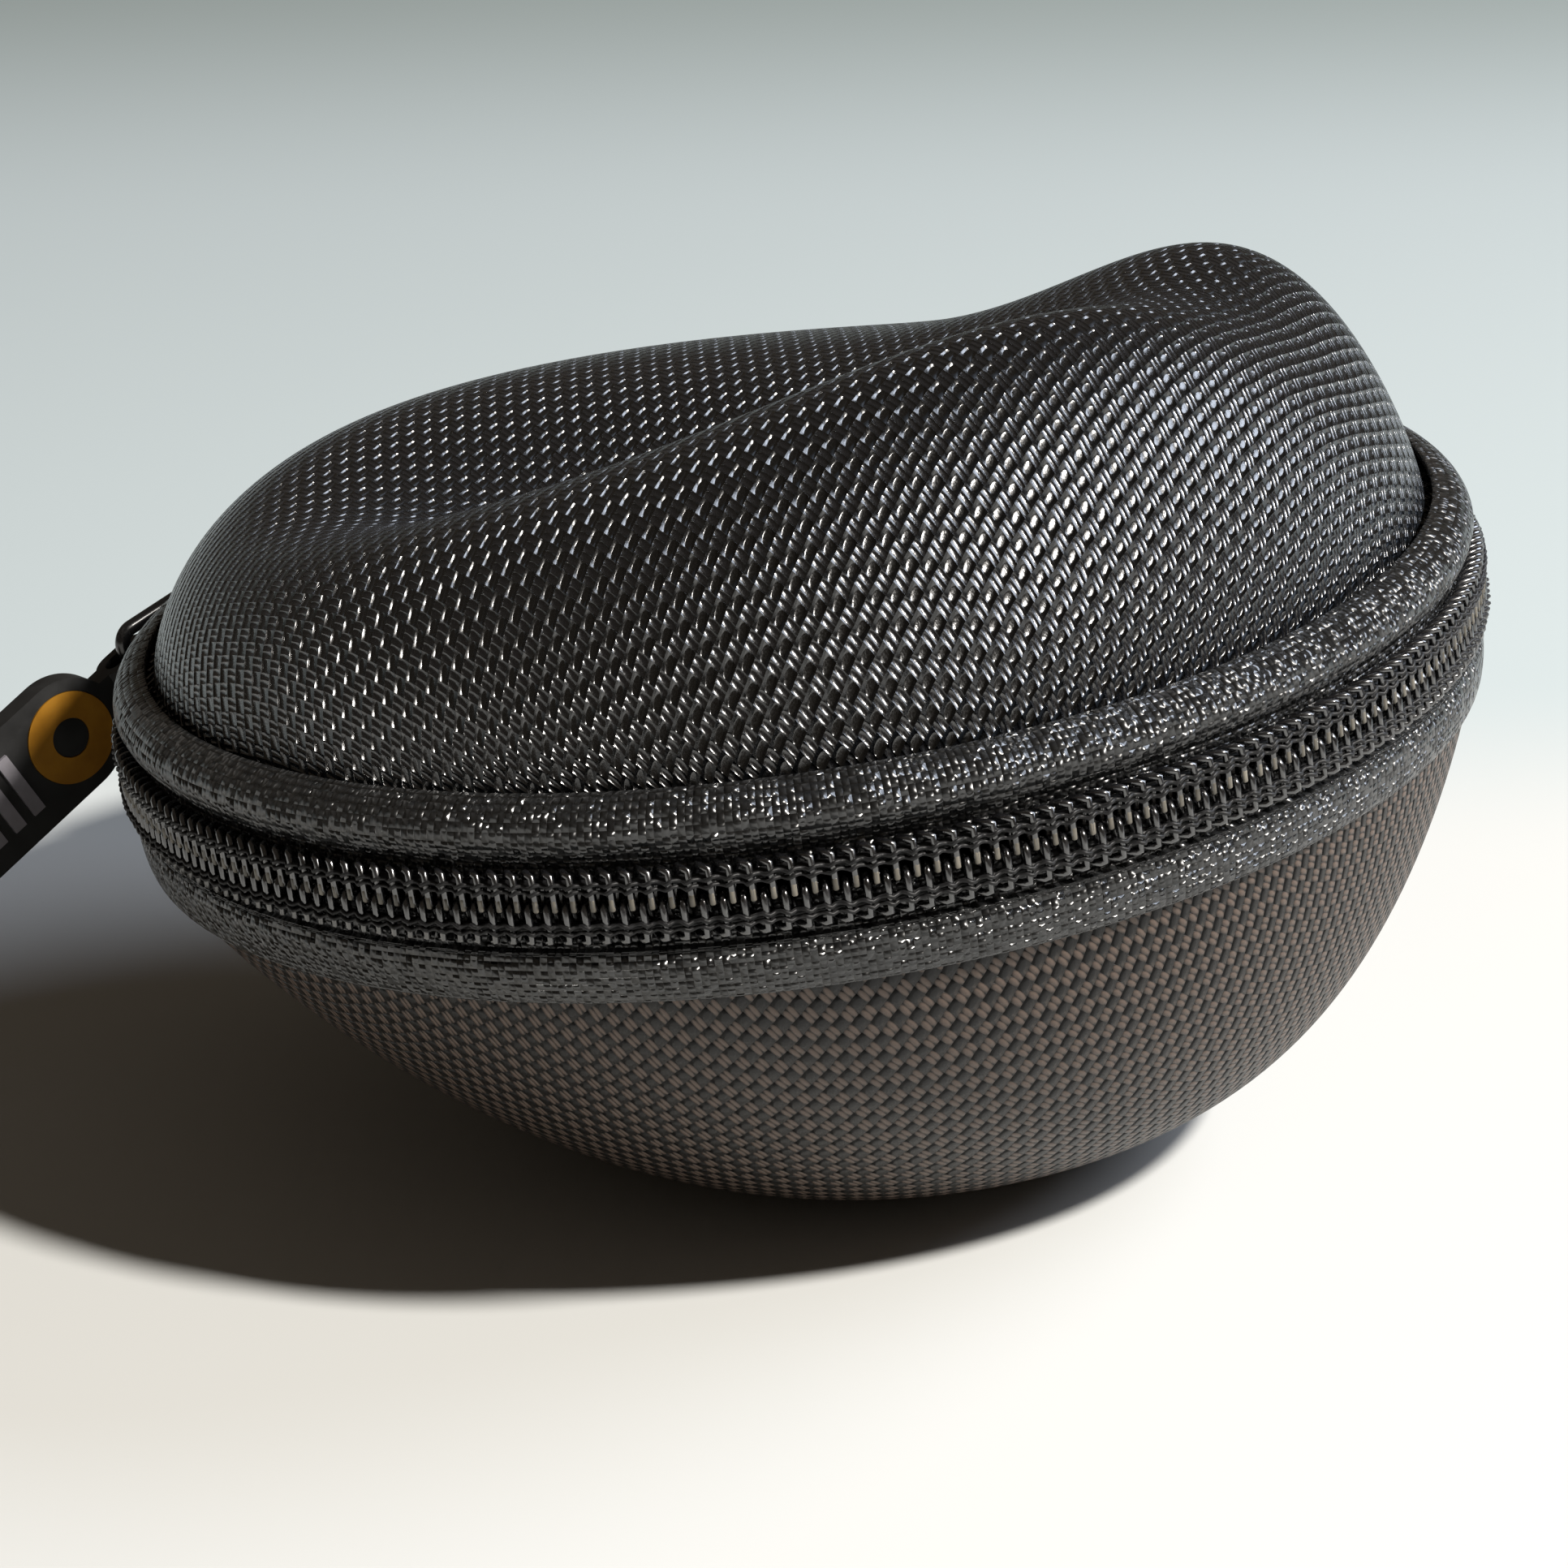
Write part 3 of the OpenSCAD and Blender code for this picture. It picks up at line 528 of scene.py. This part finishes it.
def set_light(key_turn=-39, key_rise=48, key_distance=1.4):
    """A small warm key from the front right, a broad cool light at the right, and a dim room."""
    turn, rise = math.radians(key_turn), math.radians(key_rise)
    toward = Vector((math.cos(turn) * math.cos(rise), math.sin(turn) * math.cos(rise), math.sin(rise)))
    area_light("key", toward * key_distance, 0.12, 36, "#fffaf3")
    area_light("side", (1.7, 0.45, 1.3), 1.3, 32, "#e4eeff")
    world = bpy.data.worlds.new("studio")
    scene.world = world
    world.use_nodes = True
    back = world.node_tree.nodes["Background"]
    back.inputs["Color"].default_value = srgb("#e6d3bc")
    back.inputs["Strength"].default_value = 0.1


scene.view_settings.view_transform = "Standard"
set_camera()
set_floor()
set_light()

lid_nylon = ballistic_nylon("black_ballistic_nylon", "#010101", "#09090b", "#9fb0c8", 0.24, 1.0, False)
base_nylon = ballistic_nylon("worn_ballistic_nylon", "#030202", "#584b43", "#b0a090", 0.43, 0.25, True)
tape_cloth = zip_tape_cloth("black_polyester_zip_tape", "#030303", "#1b1c1d")
filament = coil_nylon()
thread = sewing_thread()
# pale beige for the lid coil's heads: polish by the slider, and a painted highlight of the light from above
polished_and_highlit_heads = moulded_rubber("polished_and_highlit_nylon_heads", "#45423b", "#7d786e", 0.35, 900.0)
enamel = enamelled_zinc()
rubber = moulded_rubber("black_pvc_rubber", "#141414", "#242424", 0.55)
ochre = moulded_rubber("ochre_pvc_inlay", "#7e540c", "#a06f16", 0.5)
grey = moulded_rubber("grey_pvc_bars", "#6d6a70", "#8a878d", 0.55)
lining_pile = brushed_lining()
edge_tape = ribbed_webbing("black_edge_binding", "#0d0d0e", "#2b2b2e", 0.5, 0)
elastic_web = ribbed_webbing("black_elastic_webbing", "#101011", "#333338", 0.9, 1)
net = pocket_net()


# ------------------------------------------------------------------ shells and linings
def shell(name, skins, cloth, body, node_name, weave_height=None):
    """A shell of skins, each (radii, height over the plan). weave_height lays the weave's map."""
    bm = domed([(radii, side) for side, (radii, _) in enumerate(skins)])
    co = corners(bm)
    x, y, side = co[:, 0], co[:, 1], np.round(co[:, 2])
    z = np.zeros(len(co))
    for number, (_, height) in enumerate(skins):
        here = side == number
        z[here] = height(x[here], y[here])
    uv = drape_counts(x, y, weave_height) if weave_height is not None else None
    draw_form(bm, np.stack([x, y, z], 1))
    return dress(piece(bm, name, uv), cloth, body, [node_name])


def level(z):
    return lambda x, y: np.full(len(x), z)


inner_lid = LID_EDGE_R - WALL
inner_bowl = BOWL_EDGE_R - WALL
shell("lid_cover", [(rings(LID_R, 80), lid_height),
                    ([LID_FLANGE_R], level(EDGE_Z + 1.0)),
                    ([LID_FLANGE_R + FLANGE_LEAN], level(EDGE_Z)),
                    (rings(inner_lid, 24)[::-1], lambda x, y: lid_height(x, y, inner_lid, EDGE_Z, WALL))],
      lid_nylon, "lid", "upper_shell", lid_height)
shell("base_cover", [(rings(BOWL_R, 80), bowl_height),
                     ([BOWL_FLANGE_R], level(-EDGE_Z)),
                     (rings(inner_bowl, 24)[::-1], lambda x, y: bowl_height(x, y, inner_bowl, EDGE_Z, WALL))],
      base_nylon, "base", "lower_shell", bowl_height)
for name, node_name, body, height_of, radius in (
        ("lid_lining", "upper_lining", "lid", lid_height, inner_lid - GLUE),
        ("base_lining", "lower_lining", "base", bowl_height, inner_bowl - GLUE)):
    shell(name, [(rings(radius, 40), lambda x, y: height_of(x, y, radius, EDGE_Z, WALL + GLUE)),
                 (rings(radius - LINING, 40)[::-1],
                  lambda x, y: height_of(x, y, radius - LINING, EDGE_Z, WALL + GLUE + LINING))],
          lining_pile, body, node_name, None)


# ------------------------------------------------------------------ tapes and bindings
def band(name, outline, first, last, steps, cloth, body, node_name, slot, side=1, bend=None):
    """A band swept round the rim, with its length and width in millimetres as its cloth map.
    The width is measured up to the bend, a (radius, height), and from there along the slope."""
    bm = swept(outline, first, last, steps)
    if side < 0:
        bmesh.ops.transform(bm, matrix=Matrix.Scale(-1, 4, (0, 0, 1)), verts=bm.verts)
        bmesh.ops.recalc_face_normals(bm, faces=bm.faces)
    co = corners(bm)
    angle = np.degrees(np.arctan2(co[:, 1], co[:, 0]))
    angle = np.where(angle < first - 1, angle + 360, angle)
    z = np.abs(co[:, 2])
    r = np.hypot(co[:, 0], co[:, 1])
    if bend:
        width = np.where(z < bend[1], z, bend[1] + np.hypot(z - bend[1], r - bend[0]))
    else:
        width = z + r
    uv = np.stack([np.radians(angle) * TAPE_R, width], 1)
    return dress(piece(bm, name, uv), cloth, body, [node_name])


def tape_sides(edge, out=0.0, thick=0.5, start=0.8, low=0.0):
    """Outer and inner face of a tape: upright beside the coil, swelling out over the shell's
    edge past a sewn groove, then laid in on the shell to its edge."""
    r, crest = TAPE_R + out, SWELL_R + out
    groove, swell, end = 3.98 - low, 5.0 - low / 4, math.radians(80)
    in_by = (crest - edge[1] - out) / (1 - math.cos(end))
    up_by = (edge[0] - swell) / math.sin(end)
    shoulder = (r + 1.1, groove + 0.2 * (swell - groove))
    outer = [(r, z) for z in np.linspace(start, groove - 1.1, 4)]
    outer += [(r + 0.32, groove - 0.76), (r + 0.36, groove - 0.16), (r + 0.8, groove - 0.02), shoulder]
    inner = [(r - thick, z) for z in np.linspace(start, groove + 0.41 * thick, 7)]
    inner.append((shoulder[0] - thick * 0.84, shoulder[1] + thick * 0.54))
    for f in np.linspace(0, end, 11):
        lay = (crest - in_by * (1 - math.cos(f)), swell + up_by * math.sin(f))
        n = Vector((up_by * math.cos(f), in_by * math.sin(f))).normalized()
        outer.append(lay)
        inner.append((lay[0] - thick * n.x, lay[1] - thick * n.y))
    return outer, inner


def tape_outline(edge):
    outer, inner = tape_sides(edge)
    return outer + inner[::-1]


for body, half, edge, side in (("lid", "upper", LID_TAPE_EDGE, 1), ("base", "lower", BOWL_TAPE_EDGE, -1)):
    band(body + "_zip_tape", tape_outline(edge), *TAPE_SPAN, 420, tape_cloth, body, half + "_zip_tape",
         "tape", side, (TAPE_R, 4.1))


def binding_outline(r_out):
    """An edge tape folded over the foam's rim and a little down the lining."""
    r_in = r_out - WALL - GLUE - LINING
    return [(r_in - 0.9, EDGE_Z - 0.4), (r_in - 0.7, EDGE_Z - 0.6), (r_out - 0.15, EDGE_Z - 0.6),
            (r_out, EDGE_Z - 0.45), (r_out, EDGE_Z - 0.05), (r_in - 0.35, EDGE_Z - 0.05),
            (r_in - 0.35, EDGE_Z + 0.6), (r_in - 0.5, EDGE_Z + 0.7), (r_in - 0.8, EDGE_Z + 0.7),
            (r_in - 0.9, EDGE_Z + 0.5)]


for body, half, radius, side in (
        ("lid", "upper", LID_EDGE_R - 0.2, 1), ("base", "lower", BOWL_EDGE_R - 0.9, -1)):
    band(body + "_binding", binding_outline(radius), 0, 360, 240, edge_tape, body, half + "_binding",
         "binding", side)


# ------------------------------------------------------------------ zip chain
def coil_points(side, shift):
    """One coil as a single wound filament: outer leg, coupling head, inner leg, and the loop
    to the next turn."""
    # (out of the chain, across the chain from the centre line, along the chain in turns)
    turn = [(0.70, 2.6, 0.0), (0.70, 1.2, 0.0), (0.70, 0.25, 0.0), (0.50, -0.12, 0.0), (0.18, -0.2, 0.0),
            (-0.18, -0.2, 0.0), (-0.50, -0.12, 0.0), (-0.70, 0.25, 0.0), (-0.70, 1.2, 0.1),
            (-0.64, 2.3, 0.22), (-0.3, 2.66, 0.36), (0.16, 2.7, 0.56), (0.56, 2.7, 0.8)]
    return [on_rim(COIL_MID_R + out, CHAIN[0] + (k + shift + run) * COIL_STEP, side * z)
            for k in range(TURNS) for out, z, run in turn]


def stitch_points(z, side, shift):
    """Sewing drawn tight over each leg, sinking a little between the legs."""
    # (out of the chain, along the chain in turns, across the row)
    stitch = ((0.98, -0.16, -0.12), (1.04, 0.0, 0.0), (0.98, 0.16, 0.12),
              (0.74, 0.34, 0.06), (0.66, 0.5, 0.0), (0.74, 0.66, -0.06))
    points = []
    for k in range(TURNS - 1):
        astray = 0.05 * math.sin(4.1 * k + 9 * z)
        for out, run, aside in stitch:
            loose = 0.04 * math.sin(7.3 * k + 11 * run + 5 * z)
            points.append(on_rim(COIL_MID_R + out + loose, CHAIN[0] + (k + shift + run) * COIL_STEP,
                                 side * (z + aside + astray)))
    return points


def filler_points(side):
    """The cord inside a coil, pressed a little in and out by the turns."""
    angles = np.linspace(CHAIN[0] - 0.4, CHAIN[1] + 0.2, 500)
    return [on_rim(COIL_MID_R + 0.03 * math.sin(k * 1.9), a, side * 1.72) for k, a in enumerate(angles)]


def coil_heads():
    """The flattened coupling heads of the lid's turns, a small rounded bar for each, lying
    over the centre line."""
    bm = bmesh.new()
    bmesh.ops.create_cube(bm, size=1)
    bmesh.ops.scale(bm, vec=(0.3, 0.42, 1.05), verts=bm.verts)
    bmesh.ops.bevel(bm, geom=bm.edges[:], offset=0.1, offset_type="OFFSET", segments=1, profile=0.5,
                    affect="EDGES", material=-1)
    bmesh.ops.translate(bm, verts=bm.verts, vec=(RIM_R - 0.17, 0, 0.3))
    first = bm.verts[:] + bm.edges[:] + bm.faces[:]
    step = COIL_PITCH / COIL_MID_R
    for k in range(1, TURNS):
        made = bmesh.ops.duplicate(bm, geom=first)["geom"]
        bmesh.ops.rotate(bm, cent=(0, 0, 0), matrix=Matrix.Rotation(k * step, 3, "Z"),
                         verts=[g for g in made if isinstance(g, bmesh.types.BMVert)])
    bmesh.ops.rotate(bm, cent=(0, 0, 0), matrix=Matrix.Rotation(math.radians(CHAIN[0]), 3, "Z"), verts=bm.verts)
    return piece(bm, "lid_coil_heads")


for body, half, side, shift in (("lid", "upper", 1, 0.0), ("base", "lower", -1, 0.5)):
    dress(wound(body + "_coil", coil_points(side, shift), 0.3), filament, body, [half + "_zip_coil"])
    dress(wound(body + "_filler_cord", filler_points(side), 0.36, 2), thread, body,
          [half + "_coil_cord"])
    for z, row in ((1.36, "a"), (1.9, "b")):
        dress(wound(body + "_stitching_" + row, stitch_points(z, side, shift), 0.17), thread, body, ())
# only the lid's coil gets these pale heads: partly polish, partly a painted highlight where the light from
# above falls on the upper coil; the base's coil stays black
dress(coil_heads(), polished_and_highlit_heads, "lid", ())

# ------------------------------------------------------------------ hinge
def hinge_fold(top, bottom):
    """Outline of a cloth that runs on from the lid's side to the base's side."""
    return ([(r, -z) for r, z in bottom[0][::-1]] + top[0][1:]
            + top[1][::-1] + [(r, -z) for r, z in bottom[1][1:]])


def hinge_leaf(edge):
    """Half of the hinge cloth: it lies over the tape and follows it on to the shell."""
    return tape_sides((edge[0] + 0.8, edge[1]), HINGE_R - TAPE_R, 0.9, 0.0, 0.8)


def lining_leaf():
    heights = np.linspace(0, 4.3, 9)
    return [(HINGE_LINING_R, z) for z in heights], [(HINGE_LINING_R - 0.7, z) for z in heights]


for name, outline, radius, nodes, cloth, slot in (
        ("hinge_cloth", hinge_fold(hinge_leaf(LID_TAPE_EDGE), hinge_leaf(BOWL_TAPE_EDGE)), HINGE_R,
         ["upper_hinge_panel", "lower_hinge_panel"], base_nylon, "nylon"),
        ("hinge_lining", hinge_fold(lining_leaf(), lining_leaf()), HINGE_LINING_R,
         ["upper_hinge_lining", "lower_hinge_lining"], lining_pile, "lining")):
    bm = swept(outline, *HINGE, 120)
    co = corners(bm)
    angle = np.degrees(np.arctan2(co[:, 1], co[:, 0]))
    along = np.radians(angle) * radius
    uv = np.stack([along - co[:, 2], along + co[:, 2]], 1) / CROSSING
    fold = piece(bm, name, uv)
    fold.data.materials.append(cloth)
    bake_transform(fold)
    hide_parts(*nodes)

# ------------------------------------------------------------------ pocket in the lid
pocket_r = LID_EDGE_R - WALL - GLUE - LINING - 1.1
mouth, pocket_z = 4, 6.7             # the net's straight edge below the middle, and its level
elastic_wide, elastic_thick = 7, 2.1
bm = bmesh.new()
bmesh.ops.create_circle(bm, cap_ends=True, radius=pocket_r, segments=160)
bmesh.ops.bisect_plane(bm, geom=bm.verts[:] + bm.edges[:] + bm.faces[:], plane_co=(0, -mouth, 0),
                       plane_no=(0, 1, 0), clear_outer=True)
bmesh.ops.translate(bm, verts=bm.verts, vec=(0, 0, pocket_z))
net_sheet = piece(bm, "pocket_net_sheet", corners(bm)[:, :2], smooth=False)
dress(net_sheet, net, "lid", ["pocket_mesh"])
half_length = math.sqrt(pocket_r ** 2 - (mouth + elastic_wide) ** 2) - 0.4
bm = bmesh.new()
bmesh.ops.create_cube(bm, size=1)
bmesh.ops.scale(bm, vec=(2 * half_length, elastic_wide, elastic_thick), verts=bm.verts)
bmesh.ops.bevel(bm, geom=bm.edges[:], offset=0.5, offset_type="OFFSET", segments=3, profile=0.5,
                affect="EDGES", material=-1)
bmesh.ops.translate(bm, verts=bm.verts, vec=(0, -mouth - elastic_wide / 2, pocket_z))
elastic = dress(piece(bm, "pocket_elastic_band", corners(bm)[:, [1, 0]]), elastic_web, "lid",
                ["pocket_elastic"])

# ------------------------------------------------------------------ metal and rubber
for name in ("slider_body", "slider_bridge", "pull_ring", "upper_end_stops", "lower_end_stops"):
    dress(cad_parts[name], enamel)
dress(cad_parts["pull_tab"], rubber)
dress(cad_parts["tab_inlay_ring"], ochre)
dress(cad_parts["tab_grip_bars"], grey)
